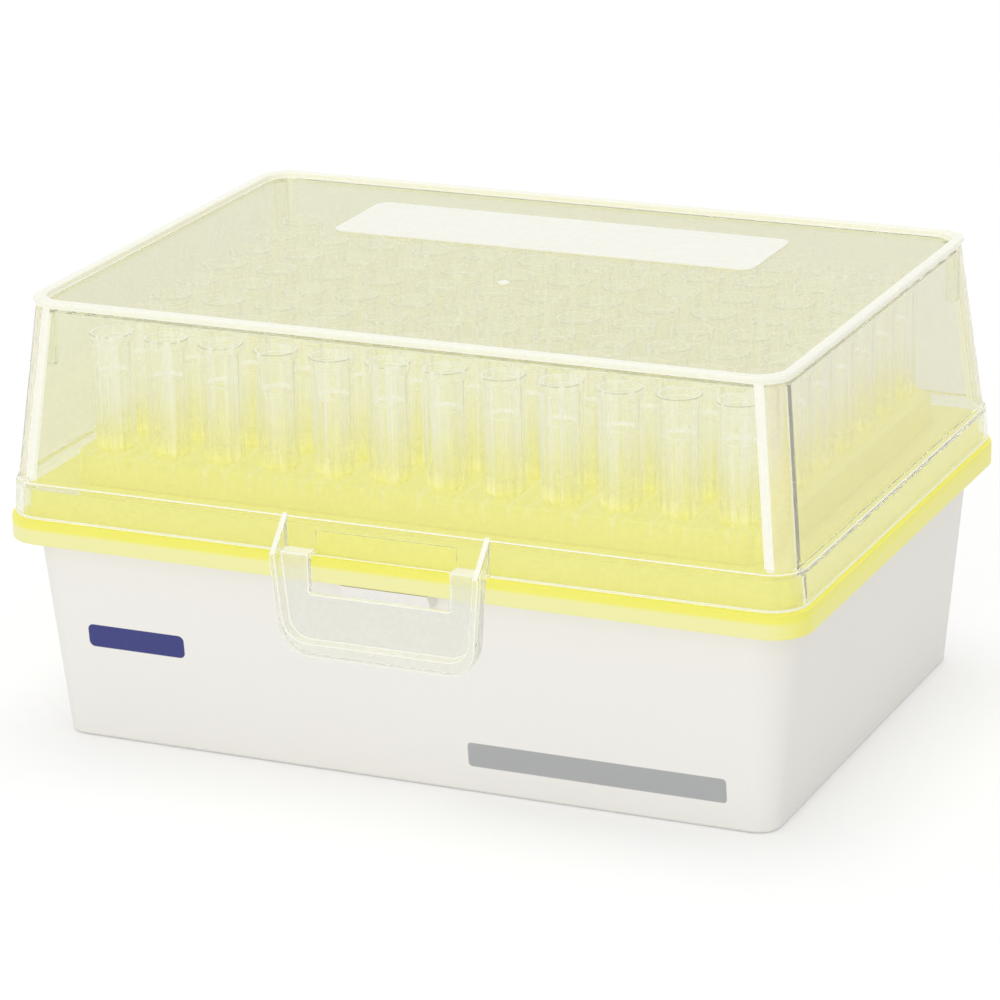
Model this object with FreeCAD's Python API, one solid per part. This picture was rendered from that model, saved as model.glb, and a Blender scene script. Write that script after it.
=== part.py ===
import FreeCAD, Part
import math
import os

from FreeCAD import Vector

# Box of pipette tips: a tapered tub, a perforated deck that hangs over its top edge, a
# hinged hood with a snap latch, and a grid of hollow tips that hang in the deck.
#
# Frame: +X along a row of tips, +Y towards the hinge, +Z up, with the origin at the
# middle of the tub's foot. All sizes are in millimetres.

# ---- driving dimensions --------------------------------------------------------------

# grid of tips
columns = 12
rows = 8
pitch = 9.0

# one tip, from its open top down to its orifice
tip_length = 51.0
tip_stand = 17.9            # height of the tip's mouth above the deck's upper tier
tip_mouth_radius = 3.34
tip_shoulder_radius = 2.5   # just above the shoulder that rests on the deck
tip_neck_radius = 2.15      # just below that shoulder
tip_end_radius = 0.45
tip_bore_mouth = 2.75       # radius of the bore at the mouth
tip_bore_end = 0.22         # radius of the bore at the orifice
tip_sides = 6               # flats that stand for the round section
tip_play = 0.12             # play of the neck in its hole, per side

# tub
base_lean = 3.5             # how far each wall leans out from the foot to the top edge
base_radius = 3.5           # corner radius at the foot, which grows with the lean
base_inner_radius = 4.5
base_wall = 1.8
base_floor = 2.0
floor_gap = 8.7             # below the tips' orifices
base_flange_width = 1.1     # outward lip round the top edge
base_flange_depth = 2.0

# deck
rim_length = 126.1
rim_width = 90.1
rim_radius = 6.0
rim_drop = 2.5              # how far the rim hangs below the tub's top edge
rim_play = 0.25             # between the rim and the tub's lip
deck_wall = 1.2
plateau_rise = 4.1          # lower tier, inside the lid's skirt
island_rise = 4.3           # upper tier, which carries the tips
island_margin = 5.1         # from the outer tips' axes to the upper tier's edge
island_radius = 4.0
tier_draft = 0.3            # inward lean of each tier's wall

# lid
lid_wall = 1.1
lid_seat_gap = 0.1          # between the skirt and the rim it rests on
rim_ledge = 0.57            # strip of rim left outside the skirt
skirt_height = 5.4
skirt_lean = 0.36
hood_step = 0.65            # set-back of the hood above the skirt
hood_step_height = 0.5
hood_radius = 4.0           # of the upright corners
headroom = 4.5              # between the tips' mouths and the lid's ceiling
plateau_play = 1.0          # between the skirt and the deck's lower tier
stack_length = 118.5        # stacking rim round the lid's top, which holds another box's foot
stack_breadth = 81.6
stack_width = 1.65
stack_height = 0.8
stack_bead = 0.45           # overhang of the stacking rim beyond the hood
bead_height = 0.9
post_size = 2.3             # square posts in the hood's upper corners
post_height = 8.4

# latch tab, moulded with the lid
latch_width = 32.8          # over its side walls
latch_foot_width = 30.4     # at the bottom corners, before rounding
latch_wall = 1.1
latch_side_wall = 0.95
latch_gap = 0.3             # between the tab and the deck's rim
latch_dish = 1.95           # height of the raised border in front of the tab's plate
latch_bottom_dish = 1.3     # the same at the bottom edge
latch_drop = 14.3           # below the skirt's lower edge
latch_corner = 4.2
window_width = 22.2
window_depth = 5.1          # below the skirt's lower edge
strap_rise = 0.9            # shoulder of each strap on the skirt
relief_depth = 0.35         # shallow recess in the skirt, behind the window
relief_height = 3.6

# catch ledge on the tub, in the latch's window
catch_width = 13.8
catch_height = 1.9
catch_gap = 0.3             # between the catch and the back of the tab
catch_drop = 0.7            # below the deck's rim

# hinge: pins on the tub, snap hooks on the lid
hinge_spacing = 68.0        # between the middles of the two hooks
hinge_set_out = 1.55        # pin's axis beyond the deck's rim
pin_radius = 1.5
pin_play = 0.05
knuckle_wall = 1.05
knuckle_gap = 0.5           # between a hook's top and the deck's rim
hook_width = 11.0
hook_side_play = 0.4
hook_gap = 0.3              # between a hook's arm and the deck's rim
hook_arm = 1.7
hook_mouth = 2.3            # slot through which the hook snaps over its pin
ear_thickness = 2.0
ear_depth = 5.7             # foot of each ear below the hinge axis

same_place = 1e-6           # points closer than this are one
tall_corner = 10.0          # lower corners need no true cone

# ---- levels and outlines that follow -------------------------------------------------

grid_length = pitch * (columns - 1)
grid_width = pitch * (rows - 1)

tip_hang = tip_length - tip_stand
island_top = base_floor + floor_gap + tip_hang
plateau_top = island_top - island_rise
rim_top = plateau_top - plateau_rise
base_height = rim_top - deck_wall
rim_bottom = base_height - rim_drop
tip_top = island_top + tip_stand

skirt_bottom = rim_top + lid_seat_gap
skirt_top = skirt_bottom + skirt_height
hood_bottom = skirt_top + hood_step_height
ceiling = tip_top + headroom
lid_panel_top = ceiling + lid_wall
lid_top = lid_panel_top + stack_height
bead_bottom = lid_top - bead_height


def inset(outline, by):
    """A rounded rectangle (length, width, corner radius) with all sides moved in."""
    length, width, radius = outline
    return (length - 2 * by, width - 2 * by, radius - by)


rim = (rim_length, rim_width, rim_radius)
rim_inside = inset(rim, deck_wall)
flange_length, flange_width, _ = inset(rim_inside, rim_play)
base_top_radius = base_radius + base_lean
base_flange = (flange_length, flange_width, base_top_radius + base_flange_width)
base_top = inset(base_flange, base_flange_width)
base_foot = inset(base_top, base_lean)
base_floor_inside = inset(base_foot, base_wall)[:2] + (base_inner_radius,)
base_top_inside = inset(base_top, base_wall)[:2] + (base_inner_radius,)

skirt_foot = inset(rim, rim_ledge)
skirt_head = inset(skirt_foot, skirt_lean)
hood_foot = inset(skirt_head, hood_step)[:2] + (hood_radius,)
stack_outside = (stack_length, stack_breadth, hood_radius + stack_bead)
stack_inside = inset(stack_outside, stack_width)[:2] + (hood_radius,)
hood_head = inset(stack_outside, stack_bead)

plateau_foot = inset(skirt_foot, lid_wall + plateau_play)
plateau_head = inset(plateau_foot, tier_draft)
island_head = (grid_length + 2 * island_margin, grid_width + 2 * island_margin, island_radius)
island_foot = inset(island_head, -tier_draft)

# front face of the rim, and the latch and catch that stand in front of it
rim_front = -rim_width / 2
latch_back = rim_front - latch_gap
latch_front = latch_back - latch_wall
latch_border = latch_front - latch_dish
latch_bottom = skirt_bottom - latch_drop

# hinge axis
knuckle_radius = pin_radius + pin_play + knuckle_wall
hinge_y = rim_width / 2 + hinge_set_out
hinge_z = rim_bottom - knuckle_gap - knuckle_radius


# ---- helpers -------------------------------------------------------------------------


def closed_solid(faces):
    """Solid bounded by the faces, with its faces turned outwards."""
    solid = Part.Solid(Part.Shell(faces))
    if solid.Volume < 0:
        solid.reverse()
    return solid


def flat_face(*corners):
    return Part.Face(Part.makePolygon(list(corners) + [corners[0]]))


def section(outline, z):
    """Arcs and straight sides, in turn, of a rounded rectangle round the Z axis."""
    length, width, radius = outline
    x, y = length / 2, width / 2
    cut = radius * (1 - math.sqrt(0.5))
    arcs = []
    corners = ((1, 1), (-1, 1), (-1, -1), (1, -1))
    for number, (sx, sy) in enumerate(corners):
        on_side = Vector(sx * x, sy * (y - radius), z)
        on_front = Vector(sx * (x - radius), sy * y, z)
        middle = Vector(sx * (x - cut), sy * (y - cut), z)
        start, end = (on_side, on_front) if number % 2 == 0 else (on_front, on_side)
        arcs.append(Part.Arc(start, middle, end).toShape())
    edges = []
    for first, second in zip(arcs, arcs[1:] + arcs[:1]):
        edges.append(first)
        edges.append(Part.makeLine(first.lastVertex(True).Point, second.firstVertex(True).Point))
    return edges


def corner_face(arc, arc_above):
    """Swept where the corner keeps its radius, a cone where it is tall, else a ruled face."""
    shift = arc_above.Curve.Center - arc.Curve.Center
    if abs(arc_above.Curve.Radius - arc.Curve.Radius) < same_place:
        return arc.extrude(shift)
    if shift.z > tall_corner and math.hypot(shift.x, shift.y) < same_place:
        slant = Part.makeLine(arc.firstVertex(True).Point, arc_above.firstVertex(True).Point)
        return slant.revolve(arc.Curve.Center, Vector(0, 0, 1), 90)
    return Part.makeRuledSurface(arc, arc_above)


def loft(*levels):
    """Solid through rounded rectangles given as (outline, z), with flat leaning walls."""
    sections = [section(outline, z) for outline, z in levels]
    faces = [Part.Face(Part.Wire(sections[0])), Part.Face(Part.Wire(sections[-1]))]
    for lower, upper in zip(sections, sections[1:]):
        for arc, arc_above in zip(lower[0::2], upper[0::2]):
            faces.append(corner_face(arc, arc_above))
        for side, side_above in zip(lower[1::2], upper[1::2]):
            low = [side.firstVertex(True).Point, side.lastVertex(True).Point]
            high = [side_above.firstVertex(True).Point, side_above.lastVertex(True).Point]
            faces.append(flat_face(low[0], low[1], high[1], high[0]))
    return closed_solid(faces)


def box_between(low, high):
    """Box between two opposite corners."""
    size = [b - a for a, b in zip(low, high)]
    return Part.makeBox(size[0], size[1], size[2], Vector(*low))


def plate_across_x(points, x_low, x_high):
    """Extrude a closed (y, z) outline along X."""
    corners = [Vector(x_low, y, z) for y, z in points]
    face = Part.Face(Part.makePolygon(corners + corners[:1]))
    return face.extrude(Vector(x_high - x_low, 0, 0))


def rod_along_x(radius, x_low, x_high, y, z):
    return Part.makeCylinder(radius, x_high - x_low, Vector(x_low, y, z), Vector(1, 0, 0))


def column_x(number):
    return pitch * number - grid_length / 2


def row_y(number):
    return pitch * number - grid_width / 2


# ---- tips ----------------------------------------------------------------------------


def ring(radius, z):
    """Corners of a regular polygon of the same area as a circle of that radius."""
    turn = 2 * math.pi / tip_sides
    reach = radius * math.sqrt(turn / math.sin(turn))
    points = []
    for side in range(tip_sides):
        angle = turn * (side + 0.5)
        points.append(Vector(reach * math.cos(angle), reach * math.sin(angle), z))
    return points


def cone(lower_radius, lower_z, upper_radius, upper_z):
    """Solid cone in flats, from one ring to the other."""
    lower, upper = ring(lower_radius, lower_z), ring(upper_radius, upper_z)
    faces = [flat_face(*lower), flat_face(*upper)]
    for side in range(tip_sides):
        beside = (side + 1) % tip_sides
        faces.append(flat_face(lower[side], lower[beside], upper[beside], upper[side]))
    return closed_solid(faces)


def make_tip():
    """One tip on the Z axis: a wide upper part, a shoulder, and a long slender body."""
    orifice = tip_top - tip_length
    upper = cone(tip_shoulder_radius, island_top, tip_mouth_radius, tip_top)
    body = cone(tip_end_radius, orifice, tip_neck_radius, island_top)
    bore = cone(tip_bore_end, orifice, tip_bore_mouth, tip_top)
    return upper.fuse(body).cut(bore)


def make_tip_column(number, tip):
    """The tips of one column, each a solid of its own."""
    solids = []
    for row in range(rows):
        copy = tip.copy()
        copy.translate(Vector(column_x(number), row_y(row), 0))
        solids.extend(copy.Solids)
    return Part.makeCompound(solids)


# ---- deck ----------------------------------------------------------------------------


def make_deck():
    """Hat-shaped plate: hanging rim, two tiers, and one hole for each tip."""
    outside = loft((rim, rim_bottom), (rim, rim_top))
    outside = outside.fuse(loft((plateau_foot, rim_top), (plateau_head, plateau_top)))
    outside = outside.fuse(loft((island_foot, plateau_top), (island_head, island_top)))

    inside = loft((rim_inside, rim_bottom), (rim_inside, base_height))
    lower_tier = (
        (inset(plateau_foot, deck_wall), base_height),
        (inset(plateau_head, deck_wall), plateau_top - deck_wall),
    )
    upper_tier = (
        (inset(island_foot, deck_wall), plateau_top - deck_wall),
        (inset(island_head, deck_wall), island_top - deck_wall),
    )
    inside = inside.fuse(loft(*lower_tier)).fuse(loft(*upper_tier))

    hole = cone(tip_neck_radius + tip_play, island_top - deck_wall, tip_neck_radius + tip_play, island_top)
    holes = []
    for number in range(columns):
        for row in range(rows):
            copy = hole.copy()
            copy.translate(Vector(column_x(number), row_y(row), 0))
            holes.append(copy)
    return outside.removeSplitter().cut(inside).cut(Part.makeCompound(holes))


# ---- tub -----------------------------------------------------------------------------


def make_catch():
    """Ledge on the front wall, with a sloped underside that leads the latch over it."""
    front = latch_back + catch_gap
    top = rim_bottom - catch_drop
    root = -base_foot[1] / 2 + base_wall
    outline = (
        (root, top),
        (front, top),
        (front, top - catch_height / 2),
        (front + catch_height / 2, top - catch_height),
        (root, top - catch_height),
    )
    return plate_across_x(outline, -catch_width / 2, catch_width / 2)


def make_ear(x_low, x_high):
    """Rounded ear that holds one end of a hinge pin behind the tub."""
    root = base_foot[1] / 2 - base_wall
    top = hinge_z + knuckle_radius
    low = hinge_z - ear_depth
    outline = (
        (root, low),
        (base_foot[1] / 2 + base_wall, low),
        (hinge_y, hinge_z - knuckle_radius),
        (hinge_y, top),
        (root, top),
    )
    plate = plate_across_x(outline, x_low, x_high)
    return plate.fuse(rod_along_x(knuckle_radius, x_low, x_high, hinge_y, hinge_z))


def make_pin_bracket(x):
    """Two ears with a pin between them, for one hook of the lid."""
    gap = hook_width / 2 + hook_side_play
    bracket = make_ear(x - gap - ear_thickness, x - gap)
    bracket = bracket.fuse(make_ear(x + gap, x + gap + ear_thickness))
    return bracket.fuse(rod_along_x(pin_radius, x - gap, x + gap, hinge_y, hinge_z))


def make_base():
    outside = loft((base_foot, 0), (base_top, base_height))
    lip = loft((base_flange, base_height - base_flange_depth), (base_flange, base_height))
    outside = outside.fuse(lip).fuse(make_catch())
    for side in (-1, 1):
        outside = outside.fuse(make_pin_bracket(side * hinge_spacing / 2))
    inside = loft((base_floor_inside, base_floor), (base_top_inside, base_height))
    return outside.cut(inside).removeSplitter()


# ---- lid -----------------------------------------------------------------------------


def make_hood():
    outline = loft(
        (skirt_foot, skirt_bottom),
        (skirt_head, skirt_top),
        (hood_foot, hood_bottom),
        (hood_head, bead_bottom),
        (stack_outside, lid_top),
    )
    return outline.cut(loft((stack_inside, lid_panel_top), (stack_inside, lid_top)))


def make_hood_inside():
    """Space inside the lid, one wall thickness in from the hood and skirt."""
    lean = (ceiling - hood_bottom) / (bead_bottom - hood_bottom)
    hood_ceiling = tuple(low + lean * (high - low) for low, high in zip(hood_foot, hood_head))
    return loft(
        (inset(skirt_foot, lid_wall), skirt_bottom),
        (inset(skirt_head, lid_wall), skirt_top - lid_wall),
        (inset(hood_foot, lid_wall), hood_bottom - lid_wall),
        (inset(hood_ceiling, lid_wall), ceiling),
    )


def make_corner_posts():
    """Square posts that fill the inside's upper corners."""
    length, width, _ = inset(hood_head, lid_wall)
    posts = []
    for sx in (-1, 1):
        for sy in (-1, 1):
            x, y = length / 2 - post_size, width / 2 - post_size
            reach = 2 * post_size
            low = (min(sx * x, sx * (x + reach)), min(sy * y, sy * (y + reach)), ceiling - post_height)
            posts.append(box_between(low, (low[0] + reach, low[1] + reach, ceiling)))
    return posts


def latch_outline(border):
    """Solid from the tab's back to its front: a trough-shaped outline, moved in by border."""
    top_half = latch_width / 2 - border
    foot_half = latch_foot_width / 2 - border
    bottom = latch_bottom + border
    top = skirt_bottom + strap_rise
    radius = latch_corner - border
    points = [Vector(x, latch_back, z) for x, z in (
        (-top_half, top), (-foot_half, bottom), (foot_half, bottom), (top_half, top),
    )]
    wire = Part.makePolygon(points + points[:1])
    solid = Part.Face(wire).extrude(Vector(0, latch_border - latch_back, 0))
    lower_edges = []
    for edge in solid.Edges:
        ends = [vertex.Point for vertex in edge.Vertexes]
        across = abs(ends[0].y - ends[1].y) > latch_wall
        if across and abs(ends[0].z - bottom) < same_place:
            lower_edges.append(edge)
    return solid.makeFillet(radius, lower_edges)


def make_latch():
    """Dished finger pull, hung from the skirt by two straps with a window between them."""
    tab = latch_outline(0)
    dish = latch_outline(latch_side_wall)
    dish.translate(Vector(0, latch_front - latch_back, 0))
    tab = tab.cut(dish)

    reach = latch_border - latch_dish
    slope = (
        (latch_border, skirt_bottom - latch_drop / 2),
        (latch_front - latch_bottom_dish, latch_bottom),
        (reach, latch_bottom),
        (reach, skirt_bottom - latch_drop / 2),
    )
    tab = tab.cut(plate_across_x(slope, -latch_width / 2, latch_width / 2))

    window_low = (-window_width / 2, reach, skirt_bottom - window_depth)
    window_high = (window_width / 2, latch_back, skirt_bottom + strap_rise)
    tab = tab.cut(box_between(window_low, window_high))

    skirt_front = -skirt_head[1] / 2 + lid_wall / 2
    for side in (-1, 1):
        inner, outer = side * window_width / 2, side * latch_width / 2
        low = (min(inner, outer), latch_back, skirt_bottom)
        high = (max(inner, outer), skirt_front, skirt_bottom + strap_rise)
        tab = tab.fuse(box_between(low, high))
        fin = (
            (skirt_front, skirt_bottom),
            (latch_border, skirt_bottom),
            (latch_border, skirt_bottom + strap_rise),
            (-skirt_head[1] / 2, hood_bottom),
            (skirt_front, hood_bottom),
        )
        fin_inner = outer - side * latch_side_wall
        tab = tab.fuse(plate_across_x(fin, min(fin_inner, outer), max(fin_inner, outer)))
    return tab


def make_hook(x):
    """Arm down the back of the skirt that ends in a snap knuckle round a pin."""
    low, high = x - hook_width / 2, x + hook_width / 2
    arm_front = rim_width / 2 + hook_gap
    arm_back = arm_front + hook_arm
    skirt_back = skirt_head[1] / 2 - lid_wall / 2
    arm = (
        (arm_front, hinge_z),
        (arm_back, hinge_z),
        (arm_back, skirt_bottom + strap_rise),
        (skirt_head[1] / 2, skirt_top),
        (skirt_back, skirt_top),
        (skirt_back, skirt_bottom),
        (arm_front, skirt_bottom),
    )
    hook = plate_across_x(arm, low, high)
    hook = hook.fuse(rod_along_x(knuckle_radius, low, high, hinge_y, hinge_z))
    hook = hook.cut(rod_along_x(pin_radius + pin_play, low, high, hinge_y, hinge_z))
    mouth_low = (low, hinge_y - hook_mouth / 2, hinge_z - 2 * knuckle_radius)
    mouth_high = (high, hinge_y + hook_mouth / 2, hinge_z)
    return hook.cut(box_between(mouth_low, mouth_high))


def make_lid():
    lid = make_hood().fuse(make_latch())
    for side in (-1, 1):
        lid = lid.fuse(make_hook(side * hinge_spacing / 2))
    inside = make_hood_inside()
    for post in make_corner_posts():
        inside = inside.cut(post)
    lid = lid.cut(inside)

    inner_front = -skirt_foot[1] / 2 + lid_wall
    relief_low = (-window_width / 2, inner_front - relief_depth, skirt_bottom)
    relief_high = (window_width / 2, inner_front + lid_wall, skirt_bottom + relief_height)
    return lid.cut(box_between(relief_low, relief_high)).removeSplitter()


# ---- write the parts -----------------------------------------------------------------


def write(name, shape):
    shape.exportStep("parts/" + name + ".step")
    print(name, len(shape.Solids), "solids, valid", shape.isValid(), "volume", round(shape.Volume, 1))


os.makedirs("parts", exist_ok=True)
write("base", make_base())
write("deck", make_deck())
write("lid", make_lid())
tip_shape = make_tip()
for column in range(columns):
    write("tips_column_%02d" % (column + 1), make_tip_column(column, tip_shape))
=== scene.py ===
# %% [markdown]
# # A box of pipette tips
#
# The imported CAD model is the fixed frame: a tub, a perforated deck, a hinged lid and twelve
# columns of tips. This lesson dresses it. Each moulding is modelled again with round corners,
# soft edges and true wall thickness, in the place that the frame gives it, and gets a plastic
# of its own. Sizes are in millimetres and turned into metres by one factor.

# %% load the frame
import math

import bmesh
import bpy
from mathutils import Matrix, Vector


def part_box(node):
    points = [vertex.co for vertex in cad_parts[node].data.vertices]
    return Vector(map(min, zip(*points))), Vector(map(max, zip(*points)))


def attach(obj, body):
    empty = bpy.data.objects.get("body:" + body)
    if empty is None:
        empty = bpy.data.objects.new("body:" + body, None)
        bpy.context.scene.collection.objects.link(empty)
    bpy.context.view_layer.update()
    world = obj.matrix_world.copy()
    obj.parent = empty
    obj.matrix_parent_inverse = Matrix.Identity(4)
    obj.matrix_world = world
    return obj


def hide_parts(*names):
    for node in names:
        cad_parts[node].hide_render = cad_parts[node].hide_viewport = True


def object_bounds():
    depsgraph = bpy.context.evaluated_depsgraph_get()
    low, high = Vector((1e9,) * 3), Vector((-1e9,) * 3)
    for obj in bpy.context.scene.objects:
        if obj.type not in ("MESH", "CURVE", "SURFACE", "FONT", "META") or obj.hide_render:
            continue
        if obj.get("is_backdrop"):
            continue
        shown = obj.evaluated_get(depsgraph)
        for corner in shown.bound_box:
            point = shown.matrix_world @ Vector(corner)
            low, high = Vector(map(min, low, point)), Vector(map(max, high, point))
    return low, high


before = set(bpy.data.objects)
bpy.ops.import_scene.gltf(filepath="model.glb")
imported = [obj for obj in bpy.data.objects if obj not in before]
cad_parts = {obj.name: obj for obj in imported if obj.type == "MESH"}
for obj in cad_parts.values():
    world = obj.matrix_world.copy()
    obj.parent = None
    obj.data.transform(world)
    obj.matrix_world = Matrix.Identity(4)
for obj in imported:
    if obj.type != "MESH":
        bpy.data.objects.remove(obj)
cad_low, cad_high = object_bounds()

MM = 0.001
print("CAD box", [round(v / MM, 1) for v in cad_low], [round(v / MM, 1) for v in cad_high])

# %% [markdown]
# ## Sizes
#
# A moulder's drawing gives one overall size for each piece and then the steps between them.
# The overall sizes are read from the frame, so that the dressed pieces can't drift away from
# the solids. Only walls, radii and leans are written here.

# %% sizes read from the frame
tub_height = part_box("base")[1].z / MM
deck_low, deck_high = (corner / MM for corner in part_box("deck"))
lid_low, lid_high = (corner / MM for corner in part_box("lid"))
columns = 12
rows = 8
pitch = 9.0
grid_length = pitch * (columns - 1)
grid_width = pitch * (rows - 1)
tip_low, tip_high = (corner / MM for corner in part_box("tips_column_01"))
tip_top, tip_orifice = tip_high.z, tip_low.z

rim_length = deck_high.x - deck_low.x
rim_width = deck_high.y - deck_low.y
rim_bottom, island_top = deck_low.z, deck_high.z
lid_top, latch_bottom = lid_high.z, lid_low.z
latch_border = lid_low.y
print("rim", round(rim_length, 2), "x", round(rim_width, 2), "island top", round(island_top, 2))

# %% walls, radii and leans
rim_radius = 6.0
deck_wall = 1.2
island_rise = 4.3
plateau_rise = 4.1
tier_draft = 0.3
plateau_top = island_top - island_rise
rim_top = plateau_top - plateau_rise

tub_wall = 1.8
tub_floor = 2.0
tub_lean = 3.5
tub_foot_radius = 3.5
lip_width = 1.1
lip_depth = 2.0
lip_play = 0.25

lid_wall = 1.1
lid_seat_gap = 0.1
skirt_height = 5.4
hood_step_height = 0.5
skirt_bottom = rim_top + lid_seat_gap
skirt_top = skirt_bottom + skirt_height
hood_bottom = skirt_top + hood_step_height
skirt_ledge = 0.57
skirt_lean = 0.36
hood_step = 0.65
hood_radius = 4.0
stack_length = 118.5
stack_breadth = 81.6
stack_width = 1.65
stack_bead = 0.45
stack_height = 0.8
bead_height = 0.9
panel_top = lid_top - stack_height
ceiling = panel_top - lid_wall
bead_bottom = lid_top - bead_height


def inset(outline, by):
    """A rounded rectangle (length, width, corner radius) with all its sides moved in."""
    length, width, radius = outline
    return (length - 2 * by, width - 2 * by, radius - by)


rim = (rim_length, rim_width, rim_radius)
rim_inside = inset(rim, deck_wall)
skirt_foot = inset(rim, skirt_ledge)
skirt_head = inset(skirt_foot, skirt_lean)
hood_foot = inset(skirt_head, hood_step)[:2] + (hood_radius,)
stack_outside = (stack_length, stack_breadth, hood_radius + stack_bead)
stack_inside = inset(stack_outside, stack_width)[:2] + (hood_radius,)
hood_head = inset(stack_outside, stack_bead)

# %% [markdown]
# ## Working in edit mode
#
# Operators act on whatever is selected, so every piece starts from nothing selected, and each
# step picks its own edges or faces by their place. A few helpers keep that readable.

# %% helpers for picking and editing
near = 0.1  # how far from a level, in millimetres, still counts as there


def deselect():
    if bpy.context.object is not None and bpy.context.object.mode != "OBJECT":
        bpy.ops.object.mode_set(mode="OBJECT")
    bpy.ops.object.select_all(action="DESELECT")


def take(piece):
    """Makes one piece the only selected and active one."""
    deselect()
    piece.select_set(True)
    bpy.context.view_layer.objects.active = piece


def edit(piece):
    """Opens a piece in edit mode with nothing selected."""
    take(piece)
    bpy.ops.object.mode_set(mode="EDIT")
    select_all("DESELECT")


def leave_edit():
    bpy.ops.object.mode_set(mode="OBJECT")


def select_all(action="SELECT"):
    bpy.ops.mesh.select_all(action=action)


def shift(x, y, z):
    """Moves what is selected in edit mode by millimetres."""
    bpy.ops.transform.translate(value=(x * MM, y * MM, z * MM))


def stretch(x, y, z):
    """Scales what is selected in edit mode along X and Y, about the middle at height z."""
    bpy.ops.transform.resize(value=(x, y, 1), center_override=(0, 0, z * MM))


def draw_edges(piece, test, x, y, z):
    """Moves the edges of a block whose middles pass the test, by millimetres."""
    edit(piece)
    pick("EDGE", lambda edge: test(middle(edge)))
    shift(x, y, z)
    leave_edit()


def settle():
    """Writes an object's place and size into its mesh, as the frame's pieces have it."""
    bpy.ops.object.transform_apply(location=True, rotation=True, scale=True)


def pick(kind, test):
    """Selects the vertices, edges or faces that pass the test."""
    bpy.ops.mesh.select_mode(type=kind)
    select_all("DESELECT")
    mesh = bpy.context.object.data
    shape = bmesh.from_edit_mesh(mesh)
    kinds = {"VERT": shape.verts, "EDGE": shape.edges, "FACE": shape.faces}
    for part in [part for part in kinds[kind] if test(part)]:
        part.select_set(True)
    bmesh.update_edit_mesh(mesh)


def middle(part):
    """Middle of an edge or a face, in millimetres."""
    places = [vertex.co for vertex in part.verts]
    return sum(places, Vector()) / len(places) / MM


def snap(piece):
    """Puts every vertex on a grid of a tenth of a micron, so that flush faces are truly flush."""
    for vertex in piece.data.vertices:
        vertex.co = [round(value, 7) for value in vertex.co]


def block(name, low, high):
    """A cube stretched between two corners given in millimetres."""
    deselect()
    bpy.ops.mesh.primitive_cube_add(size=1)
    piece = bpy.context.object
    piece.name = name
    low, high = Vector(low), Vector(high)
    piece.scale = (high - low) * MM
    piece.location = (low + high) / 2 * MM
    settle()
    snap(piece)
    return piece


def round_bar(name, radius, length, place, sides=24, turned=(0, 0, 0)):
    """A cylinder with its middle at a place, upright unless it is turned."""
    deselect()
    bpy.ops.mesh.primitive_cylinder_add(
        vertices=sides, radius=radius * MM, depth=length * MM, rotation=turned)
    piece = bpy.context.object
    piece.name = name
    piece.location = Vector(place) * MM
    settle()
    return piece


def rod(name, radius, x_low, x_high, y, z):
    """A round bar along X."""
    centre = ((x_low + x_high) / 2, y, z)
    return round_bar(name, radius, x_high - x_low, centre, 40, (0, math.pi / 2, 0))


# %% [markdown]
# ## Joining and cutting
#
# Ledges, ears and windows are joined or cut with booleans. Faces that miss each other by a hair
# leave slivers that spoil later bevels, so blocks are snapped to a grid and results are welded.

# %% helpers for modifiers
def apply_modifier(piece, kind, **settings):
    take(piece)
    bpy.ops.object.modifier_add(type=kind)
    modifier = piece.modifiers[-1]
    for setting, value in settings.items():
        setattr(modifier, setting, value)
    bpy.ops.object.modifier_apply(modifier=modifier.name)


def weld(piece, gap=0.01):
    """Closes the hair-thin slivers that a cut leaves."""
    edit(piece)
    select_all()
    bpy.ops.mesh.remove_doubles(threshold=gap * MM)
    bpy.ops.mesh.dissolve_degenerate(threshold=gap * MM)
    bpy.ops.mesh.dissolve_limited(angle_limit=math.radians(0.5))
    leave_edit()


def combine(piece, tool, operation):
    """Adds a tool body to a piece, or cuts it away, and takes the tool off the bench."""
    apply_modifier(piece, "BOOLEAN", object=tool, operation=operation, solver="EXACT")
    bpy.data.objects.remove(tool)
    weld(piece)


def open_edges(piece):
    """How many edges don't join exactly two faces: none, when the skin is closed."""
    shape = bmesh.new()
    shape.from_mesh(piece.data)
    count = sum(len(edge.link_faces) != 2 for edge in shape.edges)
    shape.free()
    return count


def soften(piece, width, steps=2, angle=35):
    """Rounds the sharp edges a little, as a mould does, and shades the piece smooth."""
    apply_modifier(
        piece, "BEVEL", width=width * MM, segments=steps, limit_method="ANGLE",
        angle_limit=math.radians(angle), miter_outer="MITER_ARC")
    smooth(piece, angle)


def smooth(piece, angle=35):
    take(piece)
    bpy.ops.object.shade_smooth_by_angle(angle=math.radians(angle), keep_sharp_edges=False)
    apply_modifier(piece, "WEIGHTED_NORMAL", keep_sharp=True, weight=80)


# %% [markdown]
# ## Rounded rectangles, stacked and bridged
#
# Tub, deck and lid are walls that run through rounded rectangles at different heights. A cube
# with bevelled edges can't do it, because the corner radius changes on the way. So each level is
# a plane with bevelled corners, and neighbouring levels are bridged. Going down the outside and
# up the inside gives the wall its true thickness in one closed skin.

# %% the stacking helper
corner_steps = 9


def rounded(place):
    return tuple(round(value, 6) for value in place)


def chosen_places():
    """Where the selected vertices of the mesh being edited lie."""
    shape = bmesh.from_edit_mesh(bpy.context.object.data)
    return {rounded(vertex.co) for vertex in shape.verts if vertex.select}


def add_level(outline, z):
    """Adds one rounded rectangle to the mesh being edited, and returns where its rim runs."""
    length, width, radius = (value * MM for value in outline)
    bpy.ops.mesh.select_mode(type="VERT")
    select_all("DESELECT")
    bpy.ops.mesh.primitive_plane_add(size=1, location=(0, 0, z * MM))
    stretch(length, width, z)
    bpy.ops.mesh.bevel(offset=radius, segments=corner_steps, affect="VERTICES")
    return chosen_places()


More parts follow.
